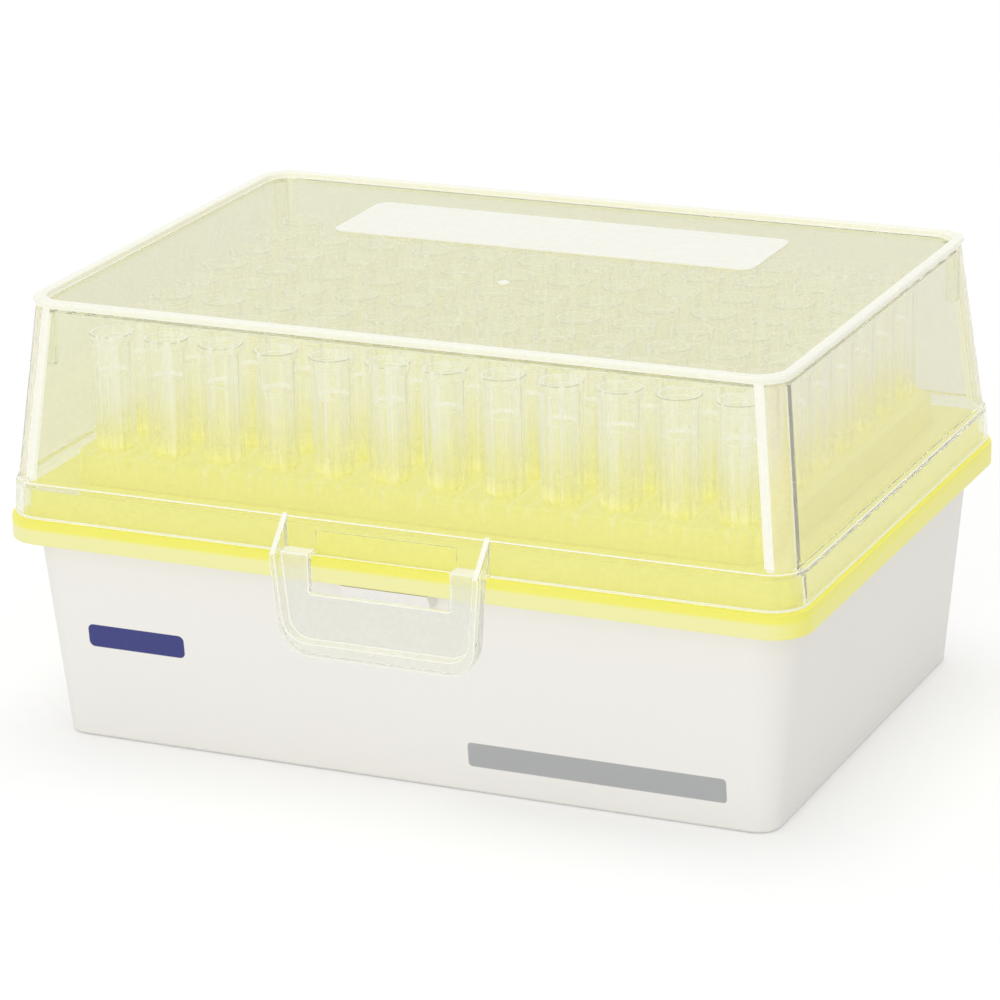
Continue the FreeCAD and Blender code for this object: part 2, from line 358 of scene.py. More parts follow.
def bridge(first, second):
    """Bridges two rims, given as the places of their vertices."""

    def on_a_rim(edge):
        ends = {rounded(vertex.co) for vertex in edge.verts}
        return (ends <= first or ends <= second) and len(edge.link_faces) < 2

    pick("EDGE", on_a_rim)
    bpy.ops.mesh.bridge_edge_loops()


def stack(name, levels):
    """A closed skin through (outline, z) levels, with a face over the first and the last.

    Two rims in one plane can be bridged with a twist, so each level is bridged high above the
    last one and then lowered into its place."""
    lift = 100
    deselect()
    bpy.ops.mesh.primitive_plane_add(size=1)
    piece = bpy.context.object
    piece.name = name
    edit(piece)
    select_all()
    bpy.ops.mesh.delete(type="VERT")
    below = None
    for number, (outline, z) in enumerate(levels):
        rim_places = add_level(outline, z + lift)
        if 0 < number < len(levels) - 1:
            bpy.ops.mesh.delete(type="ONLY_FACE")
        if below is not None:
            bridge(below, rim_places)
        pick("VERT", lambda vertex: rounded(vertex.co) in rim_places)
        shift(0, 0, -lift)
        below = chosen_places()
    select_all()
    bpy.ops.mesh.remove_doubles(threshold=0.001 * MM)
    bpy.ops.mesh.normals_make_consistent(inside=False)
    leave_edit()
    print(name, len(piece.data.polygons), "faces")
    return piece


# %% [markdown]
# ## The deck
#
# The deck is one yellow moulding: a rim that hangs over the tub, a lower tier that the lid drops
# around, and an upper tier that holds the tips. The levels run down its outside and back up its
# inside, one wall apart.

# %% deck
plateau_play = 1.0
plateau_foot = inset(skirt_foot, lid_wall + plateau_play)
plateau_head = inset(plateau_foot, tier_draft)
island_margin = 5.1
island_radius = 4.0
island_head = (grid_length + 2 * island_margin, grid_width + 2 * island_margin, island_radius)
island_foot = inset(island_head, -tier_draft)
deck_under = rim_top - deck_wall

deck = stack("deck_moulding", (
    (island_head, island_top),
    (island_foot, plateau_top),
    (plateau_head, plateau_top),
    (plateau_foot, rim_top),
    (rim, rim_top),
    (rim, rim_bottom),
    (rim_inside, rim_bottom),
    (rim_inside, deck_under),
    (inset(plateau_foot, deck_wall), deck_under),
    (inset(plateau_head, deck_wall), plateau_top - deck_wall),
    (inset(island_foot, deck_wall), plateau_top - deck_wall),
    (inset(island_head, deck_wall), island_top - deck_wall),
))

# %% [markdown]
# ## Ninety-six holes
#
# Each tip drops into a hole until its shoulder rests on the deck. The holes could be cut one by
# one, but one round cutter, repeated by two arrays, cuts them all at once.

# %% holes of the deck
hole_radius = 2.27
cutter = round_bar(
    "hole cutter", hole_radius, 4 * deck_wall, (-grid_length / 2, -grid_width / 2, island_top))
for count, step in ((columns, (pitch * MM, 0, 0)), (rows, (0, pitch * MM, 0))):
    apply_modifier(
        cutter, "ARRAY", count=count, use_relative_offset=False,
        use_constant_offset=True, constant_offset_displace=step)
soften(deck, 0.3)
combine(deck, cutter, "DIFFERENCE")
smooth(deck)
print("deck", len(deck.data.polygons), "faces with", columns * rows, "holes")

# %% [markdown]
# ## The tub
#
# The tub is a tapered box of thick, matt plastic, whose corners grow rounder towards the top. It
# ends in a lip that the deck's rim hangs over. The same stack gives it its inside.

# %% tub walls
deck_cavity = inset(rim_inside, lip_play)
lip = (deck_cavity[0], deck_cavity[1], tub_foot_radius + tub_lean + lip_width)
tub_head = inset(lip, lip_width)
tub_foot = inset(tub_head, tub_lean)
lip_bottom = tub_height - lip_depth
head_under_lip = inset(tub_head, tub_lean * lip_depth / tub_height)
inner_radius = 4.5

tub = stack("tub_moulding", (
    (tub_foot, 0),
    (head_under_lip, lip_bottom),
    (lip, lip_bottom),
    (lip, tub_height),
    (inset(tub_head, tub_wall)[:2] + (inner_radius,), tub_height),
    (inset(tub_foot, tub_wall)[:2] + (inner_radius,), tub_floor),
))
soften(tub, 0.7, steps=3)

# %% [markdown]
# ## Catch and hinge ears
#
# A small ledge on the tub's front catches the latch: a block whose lower front edge is drawn
# back. At the back stand four ears with two pins for the lid. An ear could be a plate joined to a
# round eye, but one block, with its outer edges bevelled to the eye's radius, leaves no seam.

# %% catch ledge
catch_width = 13.8
catch_height = 2.3
catch_top = rim_bottom - 0.03
catch_bottom = catch_top - catch_height
latch_gap = 0.3
catch_gap = 0.3
latch_back = -rim_width / 2 - latch_gap
catch_front = latch_back + catch_gap
tub_front_wall = -tub_foot[1] / 2

catch = block("catch", (-catch_width / 2, catch_front, catch_bottom),
              (catch_width / 2, tub_front_wall + tub_wall, catch_top))
draw_edges(catch, lambda at: at.y < catch_front + near and at.z < catch_bottom + near,
           0, catch_height / 2, 0)
soften(catch, 0.1)
combine(tub, catch, "UNION")
print("catch at", round(catch_top, 2), "reaches to", round(catch_front, 2))

# %% hinge ears and pins
hinge_set_out = 1.55
hinge_y = rim_width / 2 + hinge_set_out
pin_radius = 1.5
knuckle_radius = 2.59
knuckle_gap = 0.5
hinge_z = rim_bottom - knuckle_gap - knuckle_radius
hook_width = 11.0
hook_side_play = 0.4
hinge_spacing = 68.0
ear_thickness = 2.0
ear_depth = 5.7
pin_root = 0.2
ear_root = (tub_foot[1] - tub_wall) / 2 + tub_lean * hinge_z / tub_height


def make_ear(x_low, x_high):
    """A gusset out of the tub's back, whose outer end is rounded into an eye."""
    foot = hinge_z - knuckle_radius
    ear = block("ear", (x_low, ear_root, foot),
                (x_high, hinge_y + knuckle_radius, hinge_z + knuckle_radius))
    draw_edges(ear, lambda at: at.y < ear_root + near and at.z < foot + near,
               0, 0, knuckle_radius - ear_depth)
    edit(ear)
    pick("EDGE", lambda edge: (
        middle(edge).y > hinge_y and abs(edge.verts[0].co.x - edge.verts[1].co.x) > MM))
    bpy.ops.mesh.bevel(offset=knuckle_radius * MM, segments=10)
    leave_edit()
    weld(ear)
    soften(ear, 0.2)
    return ear


for side in (-1, 1):
    centre = side * hinge_spacing / 2
    reach = hook_width / 2 + hook_side_play
    combine(tub, make_ear(centre - reach - ear_thickness, centre - reach), "UNION")
    combine(tub, make_ear(centre + reach, centre + reach + ear_thickness), "UNION")
    pin_reach = reach + pin_root
    pin = rod("pin", pin_radius, centre - pin_reach, centre + pin_reach, hinge_y, hinge_z)
    combine(tub, pin, "UNION")
smooth(tub)
print("tub", len(tub.data.polygons), "faces,", open_edges(tub), "open edges")

# %% [markdown]
# ## The hood
#
# The lid is a clear moulding with a skirt, a set-back hood and a low stacking rim on its top. One
# skin runs over the rim, down the outside, under the skirt's edge and up the inside to the
# ceiling. A single sheet would look like film: light has to meet both faces of a wall.

# %% hood and skirt
def hood_outline(z):
    """The leaning outside of the hood at a height."""
    share = (z - hood_bottom) / (bead_bottom - hood_bottom)
    return tuple(low + share * (high - low) for low, high in zip(hood_foot, hood_head))


edge_strip = 0.75
strip_bottom = bead_bottom - edge_strip
hood = stack("lid_hood", (
    (stack_inside, panel_top),
    (stack_inside, lid_top),
    (stack_outside, lid_top),
    (stack_outside, lid_top - bead_height / 2),
    (hood_head, bead_bottom),
    (hood_outline(strip_bottom), strip_bottom),
    (hood_foot, hood_bottom),
    (skirt_head, skirt_top),
    (skirt_foot, skirt_bottom),
    (inset(skirt_foot, lid_wall), skirt_bottom),
    (inset(skirt_head, lid_wall), skirt_top - lid_wall),
    (inset(hood_foot, lid_wall), hood_bottom - lid_wall),
    (inset(hood_outline(ceiling), lid_wall), ceiling),
))
soften(hood, 0.22, angle=20)

# %% [markdown]
# ## Relief behind the latch
#
# Behind the latch's window the skirt is a little thinner and polished, so that the catch shows.
# A thin block cut from the skirt's inner face makes it, and keeps the outer face whole.

# %% polished relief behind the latch's window
window_width = 22.2
relief_height = 3.6
relief_depth = 0.12
relief_face_y = -skirt_foot[1] / 2 + lid_wall - relief_depth
relief = block("relief", (-window_width / 2, relief_face_y, skirt_bottom - 0.5),
               (window_width / 2, relief_face_y + lid_wall, skirt_bottom + relief_height))
combine(hood, relief, "DIFFERENCE")
smooth(hood, 20)
print("hood", len(hood.data.polygons), "faces")

# %% [markdown]
# ## Corner posts
#
# A short square post stiffens each upper corner of the hood. The four could be joined to it, but
# their soft edges are what shows through the wall, so each stays a block of its own.

# %% corner posts
post_size = 2.3
post_height = 8.4
post_set_in = 0.35
post_length, post_width, _ = inset(hood_head, lid_wall)


def make_post(number, side_x, side_y):
    """A square rib that stiffens one upper corner, just inside the wall."""
    x = (side_x * (post_length / 2 - post_size), side_x * (post_length / 2 - post_set_in))
    y = (side_y * (post_width / 2 - post_size), side_y * (post_width / 2 - post_set_in))
    post = block("lid_post_%d" % number,
                 (min(x), min(y), ceiling - post_height), (max(x), max(y), ceiling))
    soften(post, 0.25)
    return post


corners = enumerate(((-1, -1), (-1, 1), (1, -1), (1, 1)), 1)
posts = [make_post(number, *sides) for number, sides in corners]
print(len(posts), "posts")

# %% [markdown]
# ## Marks on the lid's top
#
# Towards the hinge lies one frosted field to write on, raised by a hair, and in front of it the
# small mark where the plastic was let into the mould. Both are thin pieces of their own: a
# texture alone would leave no edge for the light to catch.

# %% frosted field and gate mark
field_size = (69.0, 18.0, 2.0)
field_middle_y = 20.6
field_rise = 0.18
field_root = 0.1
gate_place = (2.6, -6.6)
gate_radius = 0.9
gate_height = 0.5

writing_field = stack("lid_writing_field", (
    (field_size, panel_top - field_root),
    (field_size, panel_top + field_rise),
))
writing_field.location = (0, field_middle_y * MM, 0)
settle()
soften(writing_field, 0.08)

gate_mark = round_bar("lid_gate_mark", gate_radius, gate_height, (*gate_place, panel_top))
soften(gate_mark, 0.12)
print("field", [round(value / MM, 2) for value in writing_field.dimensions])

# %% [markdown]
# ## The latch tab
#
# The tab is a shallow dish, open at the top, that hangs from the skirt by two straps. A cutter of
# the same outline, moved in by one wall, hollows it from the front; the lower border then slopes
# back, and a window between the straps shows the catch.

# %% latch tab
latch_width = 32.8
latch_foot_width = 30.4
latch_wall = 1.1
latch_side_wall = 0.95
latch_corner = 4.2
latch_front = latch_back - latch_wall
strap_rise = 0.9
strap_top = skirt_bottom + strap_rise
window_depth = 5.1
window_bottom = skirt_bottom - window_depth
bottom_dish = 1.3
bottom_border = 2.2


def tab_block(name, side_border, bottom_border, y_low, y_high):
    """A trough-shaped block with rounded lower corners, moved in by its borders."""
    low = latch_bottom + bottom_border
    half = latch_width / 2 - side_border
    piece = block(name, (-half, y_low, low), (half, y_high, skirt_bottom))
    edit(piece)
    pick("FACE", lambda face: middle(face).z < low + near)
    stretch((latch_foot_width / 2 - side_border) / half, 1, low)
    pick("EDGE", lambda edge: (
        abs(middle(edge).x) > latch_foot_width / 4 and middle(edge).z < low + near
        and abs(edge.verts[0].co.y - edge.verts[1].co.y) > 0.5 * MM))
    bpy.ops.mesh.bevel(offset=(latch_corner - side_border) * MM, segments=8)
    pick("FACE", lambda face: middle(face).z > skirt_bottom - near)
    bpy.ops.mesh.extrude_region_move(TRANSFORM_OT_translate={"value": (0, 0, strap_rise * MM)})
    leave_edit()
    snap(piece)
    return piece


latch = tab_block("lid_latch", 0, 0, latch_border, latch_back)
dish = tab_block("dish", latch_side_wall, bottom_border, latch_border - 1, latch_front)
combine(latch, dish, "DIFFERENCE")
slope_top = (skirt_bottom + latch_bottom) / 2
slope_foot = latch_front - bottom_dish
wedge = block("wedge", (-latch_width, latch_border - 2, latch_bottom - 1),
              (latch_width, slope_foot, slope_top))
draw_edges(wedge, lambda at: at.z > slope_top - near and at.y > latch_border,
           0, latch_border - slope_foot, 0)
combine(latch, wedge, "DIFFERENCE")
print("latch", [round(value / MM, 2) for value in latch.dimensions])

# %% [markdown]
# ## Window, straps and fins
#
# A cut opens the window. Two straps then carry the tab to the skirt, and a thin fin on each side
# runs up to the hood's step. A fin starts as a block, and its upper rear edge is drawn upwards.

# %% window, straps and fins
combine(latch, block("window", (-window_width / 2, latch_border - 1, window_bottom),
                     (window_width / 2, latch_back + 1, strap_top + 1)), "DIFFERENCE")
skirt_front = -skirt_head[1] / 2
strap_root = skirt_front + lid_wall / 2
strap_lap = 0.4


def make_fin(side):
    """A thin wedge that carries one side of the tab up the skirt."""
    x = (side * latch_width / 2, side * (latch_width / 2 - latch_side_wall))
    fin = block("fin", (min(x), latch_border, skirt_bottom), (max(x), strap_root, strap_top))
    draw_edges(fin, lambda at: at.z > strap_top - near and at.y > skirt_front,
               0, 0, hood_bottom - strap_top)
    return fin


for side in (-1, 1):
    x = (side * window_width / 2, side * latch_width / 2)
    combine(latch, block("strap", (min(x), latch_back - strap_lap, skirt_bottom),
                         (max(x), strap_root, strap_top)), "UNION")
    combine(latch, make_fin(side), "UNION")
soften(latch, 0.22)
print("latch", len(latch.data.polygons), "faces,", open_edges(latch), "open edges")

# %% [markdown]
# ## The hinge hooks
#
# Two arms run down the back of the skirt and end in snap rings round the tub's pins. Each ring
# is open below, where it was pushed over its pin. A hook could be swept along a curve, but arm,
# root and knuckle joined, then bored and slotted, keep the gap to the pin exact.

# %% hooks
hook_gap = 0.3
hook_arm = 1.7
arm_front = rim_width / 2 + hook_gap
arm_back = arm_front + hook_arm
skirt_back = skirt_head[1] / 2
root_rise = 0.9
root_top = skirt_bottom + root_rise
pin_play = 0.05
hook_mouth = 2.3


def make_hook(name, x):
    """An arm with its root on the skirt and a slotted ring at its end."""
    low, high = x - hook_width / 2, x + hook_width / 2
    hook = block(name, (low, arm_front, hinge_z), (high, arm_back, root_top))
    root = block("root", (low, skirt_back - lid_wall / 2, skirt_bottom), (high, arm_back, root_top))
    draw_edges(root, lambda at: at.z > root_top - near and at.y < skirt_back,
               0, lid_wall / 2, skirt_top - root_top)
    combine(hook, root, "UNION")
    combine(hook, rod("knuckle", knuckle_radius, low, high, hinge_y, hinge_z), "UNION")
    combine(hook, rod("bore", pin_radius + pin_play, low - 1, high + 1, hinge_y, hinge_z), "DIFFERENCE")
    combine(hook, block("mouth", (low - 1, hinge_y - hook_mouth / 2, hinge_z - 2 * knuckle_radius),
                        (high + 1, hinge_y + hook_mouth / 2, hinge_z)), "DIFFERENCE")
    soften(hook, 0.15)
    return hook


hooks = [make_hook("lid_hook_left", -hinge_spacing / 2), make_hook("lid_hook_right", hinge_spacing / 2)]
print(len(hooks), "hooks")

# %% [markdown]
# ## One tip
#
# A tip is turned: circles drawn out of each other down the outside and back up the bore. Twelve
# shallow flutes stiffen its collar. They could be cut one by one, but every second vertex of two
# rings, pushed towards the axis, gives them all at once.

# %% one tip
tip_sides = 24
mouth_radius = 3.34
collar_radius = 3.2
shoulder_radius = 2.5
neck_radius = 2.15
end_radius = 0.45
bore_mouth = 2.75
bore_end = 0.22
collar_top = tip_top - 1.35
collar_bottom = island_top + 0.7
tip_rings = (
    (mouth_radius - 0.1, tip_top),
    (mouth_radius, tip_top - 0.12),
    (mouth_radius - 0.04, tip_top - 0.9),
    (collar_radius, tip_top - 1.2),
    (collar_radius, collar_top),
    (collar_radius - 0.08, collar_bottom),
    (shoulder_radius, island_top + 0.02),
    (neck_radius, island_top),
    (1.55, island_top - 14),
    (0.8, tip_orifice + 6),
    (end_radius, tip_orifice),
    (bore_end, tip_orifice),
    (1.2, island_top - 13),
    (1.95, island_top + 1),
    (2.12, tip_top - 6.4),
    (2.5, tip_top - 5.9),
    (bore_mouth, tip_top - 1.2),
    (mouth_radius - 0.52, tip_top),
)


def turn(name, rings, sides):
    """A ring-shaped skin: a circle drawn out through (radius, z) rings and closed on itself."""
    deselect()
    radius, z = rings[0]
    bpy.ops.mesh.primitive_circle_add(vertices=sides, radius=radius * MM, location=(0, 0, 0))
    piece = bpy.context.object
    piece.name = name
    edit(piece)
    select_all()
    shift(0, 0, z)
    for next_radius, next_z in rings[1:]:
        bpy.ops.mesh.extrude_edges_move()
        stretch(next_radius / radius, next_radius / radius, z)
        shift(0, 0, next_z - z)
        radius, z = next_radius, next_z
    bpy.ops.mesh.select_mode(type="EDGE")
    select_all("DESELECT")
    bpy.ops.mesh.select_non_manifold()
    bpy.ops.mesh.bridge_edge_loops()
    select_all()
    bpy.ops.mesh.normals_make_consistent(inside=False)
    leave_edit()
    return piece


def press_flutes(z, radius, depth):
    """Moves every second vertex of one outer ring towards the axis."""
    side_angle = 2 * math.pi / tip_sides
    edit(tip)
    pick("VERT", lambda vertex: (
        abs(vertex.co.z / MM - z) < 0.01 and abs(vertex.co.xy.length / MM - radius) < 0.01
        and round(math.atan2(vertex.co.y, vertex.co.x) / side_angle) % 2 == 0))
    shrink = 1 - depth / radius
    stretch(shrink, shrink, z)
    leave_edit()


tip = turn("tip", tip_rings, tip_sides)
press_flutes(collar_top, collar_radius, 0.2)
press_flutes(collar_bottom, collar_radius - 0.08, 0.5)
smooth(tip, 20)
print("tip", len(tip.data.polygons), "faces", [round(value / MM, 2) for value in tip.dimensions])

# %% [markdown]
# ## The tips in their columns
#
# The rack holds twelve columns of eight. An array would leave one piece, but each column is a
# piece of the frame, so eight copies are placed and joined for each one.

# %% columns of tips
def make_column(number):
    """Copies the tip to each row of one column and joins the copies."""
    copies = []
    for row in range(rows):
        copy = tip.copy()
        copy.data = tip.data.copy()
        bpy.context.scene.collection.objects.link(copy)
        copy.location = Vector((pitch * number - grid_length / 2, pitch * row - grid_width / 2, 0)) * MM
        copies.append(copy)
    deselect()
    for copy in copies:
        copy.select_set(True)
    bpy.context.view_layer.objects.active = copies[0]
    settle()
    bpy.ops.object.join()
    copies[0].name = "tips_row_of_8_%02d" % (number + 1)
    return copies[0]


tip_columns = [make_column(number) for number in range(columns)]
bpy.data.objects.remove(tip)
print(len(tip_columns), "columns of", rows, "tips")

# %% [markdown]
# ## Patterns that several plastics share
#
# Moulded plastic is never one flat colour: it has slow clouds from the flow and a fine grain from
# the mould. One node group makes both from Object coordinates, and every plastic sets its own
# sizes. A second group masks a rounded field, for printed marks.

# %% shared node groups
def new_group(name, inputs, outputs):
    group = bpy.data.node_groups.new(name, "ShaderNodeTree")
    for label, value in inputs:
        group.interface.new_socket(
            label, in_out="INPUT", socket_type="NodeSocketFloat").default_value = value
    for label in outputs:
        group.interface.new_socket(label, in_out="OUTPUT", socket_type="NodeSocketFloat")
    return group, group.nodes.new("NodeGroupInput"), group.nodes.new("NodeGroupOutput")


def give(tree, socket, value):
    """Feeds an input with another node's output, or sets it to a number or colour."""
    if isinstance(value, bpy.types.NodeSocket):
        tree.links.new(value, socket)
    else:
        socket.default_value = value


def feed(tree, node, values):
    """Feeds a node's inputs by label. An underscore stands for a space."""
    for label, value in values.items():
        give(tree, node.inputs[label.replace("_", " ")], value)


def add_node(tree, kind, **values):
    """Adds a shader node and feeds its inputs."""
    node = tree.nodes.new("ShaderNode" + kind)
    feed(tree, node, values)
    return node


def math_node(tree, operation, first, second=None, clamp=False):
    """One Math node, with each input a number or another node's output."""
    node = add_node(tree, "Math")
    node.operation = operation
    node.use_clamp = clamp
    give(tree, node.inputs[0], first)
    if second is not None:
        give(tree, node.inputs[1], second)
    return node.outputs[0]


def make_moulded_group():
    """Slow clouds and a fine grain, each a noise of its own scale."""
    group, given, result = new_group(
        "moulded plastic", (("Flow scale", 40), ("Grain scale", 2500)), ("Flow", "Grain"))
    place = add_node(group, "TexCoord").outputs["Object"]
    for label in ("Flow", "Grain"):
        scale = given.outputs[label + " scale"]
        noise = add_node(group, "TexNoise", Vector=place, Scale=scale, Detail=3)
        group.links.new(noise.outputs["Fac"], result.inputs[label])
    return group


moulded = make_moulded_group()


def make_field_group():
    """1 inside a rounded field that lies across X and another axis, 0 outside it."""
    group, given, result = new_group(
        "rounded field",
        (("Along X", 0), ("Across", 0), ("Middle X", 0), ("Middle across", 0),
         ("Half length", 0.01), ("Half width", 0.005), ("Corner", 0.001)),
        ("Field",))
    squares = []
    for labels in (("Along X", "Middle X", "Half length"), ("Across", "Middle across", "Half width")):
        value, centre, half = (given.outputs[label] for label in labels)
        off = math_node(group, "ABSOLUTE", math_node(group, "SUBTRACT", value, centre))
        core = math_node(group, "SUBTRACT", half, given.outputs["Corner"])
        reach = math_node(group, "MAXIMUM", math_node(group, "SUBTRACT", off, core), 0.0)
        squares.append(math_node(group, "MULTIPLY", reach, reach))
    distance = math_node(group, "SQRT", math_node(group, "ADD", squares[0], squares[1]))
    beyond = math_node(group, "SUBTRACT", distance, given.outputs["Corner"])
    edge = add_node(group, "MapRange", Value=beyond, From_Min=0.05 * MM, From_Max=-0.05 * MM)
    group.links.new(edge.outputs["Result"], result.inputs["Field"])
    return group


field = make_field_group()
print("groups", moulded.name, "and", field.name)

# %% [markdown]
# ## Mixing a plastic
#
# A material could be wired node by node, but the same few steps come back in every plastic: an
# axis, a ramp, a blend, a bump. So they get short names.

# %% helpers for materials
class Paint:
    """A material being mixed: its tree, its shader and short ways to add nodes."""

    def __init__(self, name):
        self.material = bpy.data.materials.new(name)
        self.material.use_nodes = True
        self.tree = self.material.node_tree
        self.shader = self.tree.nodes["Principled BSDF"]
        self.place = self.add("TexCoord").outputs["Object"]

    def add(self, kind, **values):
        return add_node(self.tree, kind, **values)

    def feed(self, **values):
        """Feeds the shader itself."""
        feed(self.tree, self.shader, values)

    def group(self, group, **values):
        node = self.add("Group")
        node.node_tree = group
        feed(self.tree, node, values)
        return node.outputs

    def axis(self, letter):
        """How far along one axis of the object a point lies, in metres."""
        return self.add("SeparateXYZ", Vector=self.place).outputs[letter]

    def ramp(self, value, low, high, to_low=0.0, to_high=1.0):
        return self.add("MapRange", Value=value, From_Min=low, From_Max=high,
                        To_Min=to_low, To_Max=to_high).outputs["Result"]

    def along(self, letter, low, high, to_low=0.0, to_high=1.0):
        """A ramp between two places on an axis, in millimetres."""
        return self.ramp(self.axis(letter), low * MM, high * MM, to_low, to_high)

    def mix(self, factor, first, second):
        """Blends two colours. In a Mix node the colour sockets are numbers 6 and 7, and 2 comes out."""
        node = self.add("Mix")
        node.data_type = "RGBA"
        for socket, value in ((0, factor), (6, first), (7, second)):
            give(self.tree, node.inputs[socket], value)
        return node.outputs[2]

    def math(self, operation, first, second=None, clamp=False):
        return math_node(self.tree, operation, first, second, clamp)

    def bump(self, height, depth):
        node = self.add("Bump", Strength=0.6, Distance=depth * MM, Height=height)
        self.feed(Normal=node.outputs["Normal"])


def screen(*levels):
    """A colour picked on a screen (0 to 255), as the light that a shader wants."""
    shares = [level / 255 for level in levels]
    linear = [share / 12.92 if share <= 0.04045 else ((share + 0.055) / 1.055) ** 2.4
              for share in shares]
    return (*linear, 1.0)


# %% [markdown]
# ## Tub plastic
#
# Off-white, with a dull skin: hardly any gloss, a fine grain and slow clouds. The two printed
# marks could be thin pieces, but ink shows no thickness, so each is a field of colour.

# %% tub plastic
# the marks' places and sizes are in millimetres
mark_sizes = ("Middle_X", "Middle_across", "Half_length", "Half_width", "Corner")
printed_marks = (
    (screen(62, 66, 128), (-43.0, 17.0, 8.0, 1.8, 0.9)),
    (screen(176, 177, 178), (30.2, 6.2, 20.0, 1.9, 0.6)),
)


def make_tub_plastic():
    paint = Paint("tub plastic")
    clouds = paint.group(moulded, Flow_scale=30, Grain_scale=1800)
    body = paint.mix(clouds["Flow"], screen(242, 240, 234), screen(245, 243, 238))
    grain = clouds["Grain"]
    front = paint.along("Y", 0, -1)
    for ink, lengths in printed_marks:
        sizes = dict(zip(mark_sizes, (length * MM for length in lengths)))
        mark = paint.group(field, Along_X=paint.axis("X"), Across=paint.axis("Z"), **sizes)["Field"]
        body = paint.mix(paint.math("MULTIPLY", mark, front), body, ink)
    paint.feed(Base_Color=body, Specular_IOR_Level=0.35,
               Roughness=paint.ramp(grain, 0.3, 0.7, 0.5, 0.62))
    paint.bump(grain, 0.02)
    return paint.material


tub_plastic = make_tub_plastic()
print(tub_plastic.name, "with", len(printed_marks), "printed marks")

# %% [markdown]
# ## Deck plastic
#
# Lemon yellow, glossy and slightly translucent. The light that the wall scatters is painted: the rim is
# painted pale where it hangs free, upright painted streaks on the upper tier are light sent down by
# the tips, and a faint painted glow, stronger on the end walls to lift their shade, evens the deck.
# Scattering inside the wall could give all this, but ramps and a glow cost far less.

# %% deck plastic
def make_deck_plastic(name, painted_glow):
    paint = Paint(name)
    clouds = paint.group(moulded, Flow_scale=25, Grain_scale=2200)
    body = paint.mix(clouds["Flow"], screen(240, 235, 98), screen(243, 239, 114))
    grain = clouds["Grain"]
    # painted light: the rim is painted pale where it hangs free
    painted_pale_rim = paint.along("Z", rim_top - 1.0, rim_top - 1.6)
    inward = paint.along("X", rim_length / 2 - 0.6, rim_length / 2 - 5, 0.3, 1)
    body = paint.mix(paint.math("MULTIPLY", painted_pale_rim, inward), body, screen(239, 237, 170))
    # painted light: upright streaks on the upper tier, for light sent down by the tips
    across = paint.add("CombineXYZ", X=paint.axis("X")).outputs[0]
    shimmer = paint.add("TexNoise", Vector=across, Scale=700).outputs["Fac"]
    wall = paint.along("Z", plateau_top + 0.8, island_top)
    streaks = paint.math("MULTIPLY", paint.ramp(shimmer, 0.5, 0.66, 0, 0.7), wall)
    body = paint.mix(streaks, body, screen(246, 243, 168))
    # painted glow: an emission that evens out the deck's shading
    paint.feed(Base_Color=body, Roughness=paint.ramp(grain, 0.3, 0.7, 0.28, 0.38),
               Emission_Color=screen(240, 234, 60), Emission_Strength=painted_glow)
    paint.bump(grain, 0.015)
    return paint.material


# painted glow: faint on the whole deck, stronger on the end walls to lift their shade
deck_plastic = make_deck_plastic("deck plastic", 0.05)
deck_end_glow_plastic = make_deck_plastic("deck plastic with stronger painted glow on end walls", 0.13)
print(deck_plastic.name, "and", deck_end_glow_plastic.name)

# %% [markdown]
# ## Clear plastics
#
# The lid is a real glass-like wall, so its edges and steps bend the light into bright lines.
# Alpha would be quicker, but it leaves edges flat. One recipe makes all the lid's plastics,
# the painted highlights and painted shade among them.

# %% clear plastic of the lid
def make_clear_plastic(
        name, tint, clearness, roughness, grain_depth=0.004, grain_scale=1500, speckle=0.02):
    """A wall that bends light. The speckle is how far its tint wanders with the grain."""
    paint = Paint(name)
    grain = paint.group(moulded, Grain_scale=grain_scale)["Grain"]
    deep, pale = ([min(1.0, value * share) for value in screen(*tint)[:3]] + [1.0]
                  for share in (1 - speckle, 1 + speckle))
    paint.feed(Base_Color=paint.mix(paint.ramp(grain, 0.38, 0.62), deep, pale),
               Transmission_Weight=clearness, IOR=1.46,
               Roughness=paint.ramp(grain, 0.3, 0.7, roughness, roughness + 0.03))
    paint.bump(grain, grain_depth)
    return paint.material


# after each colour comes how clear the plastic is, how rough, and the grain
lid_plastic = make_clear_plastic("lid plastic", (246, 247, 232), 0.9, 0.04)
# painted shade: a darker tint for the hood's end walls and back wall
shaded_end_wall_plastic = make_clear_plastic("lid plastic, painted shade on end and back walls", (240, 239, 225), 0.9, 0.0, 0.002)
# painted highlight: nearly opaque white for the bright lines along edges and steps
edge_highlight_plastic = make_clear_plastic("lid plastic, painted highlight on edge", (255, 254, 239), 0.05, 0.2)
# frosted top with painted shade: its speckle is the frost, its darker tint is painted shade
frosted_top_painted_shade = make_clear_plastic(
    "lid plastic frosted top, painted shade", (233, 233, 207), 0.88, 0.0, 0.002, 1900, 0.07)
# painted highlight: a whiter, less clear plastic on the rounded corners
corner_highlight_plastic = make_clear_plastic("lid plastic, painted highlight at corners", (248, 245, 226), 0.72, 0.08)
polished_plastic = make_clear_plastic("lid plastic polished", (252, 252, 244), 0.98, 0.01, 0.0)
latch_plastic = make_clear_plastic("latch plastic", (251, 251, 243), 0.86, 0.06)
plate_plastic = make_clear_plastic("latch plastic frosted", (242, 242, 235), 0.7, 0.18, 0.006)
frost = make_clear_plastic("frosted field", (252, 252, 243), 0.15, 0.4, 0.012, 900)
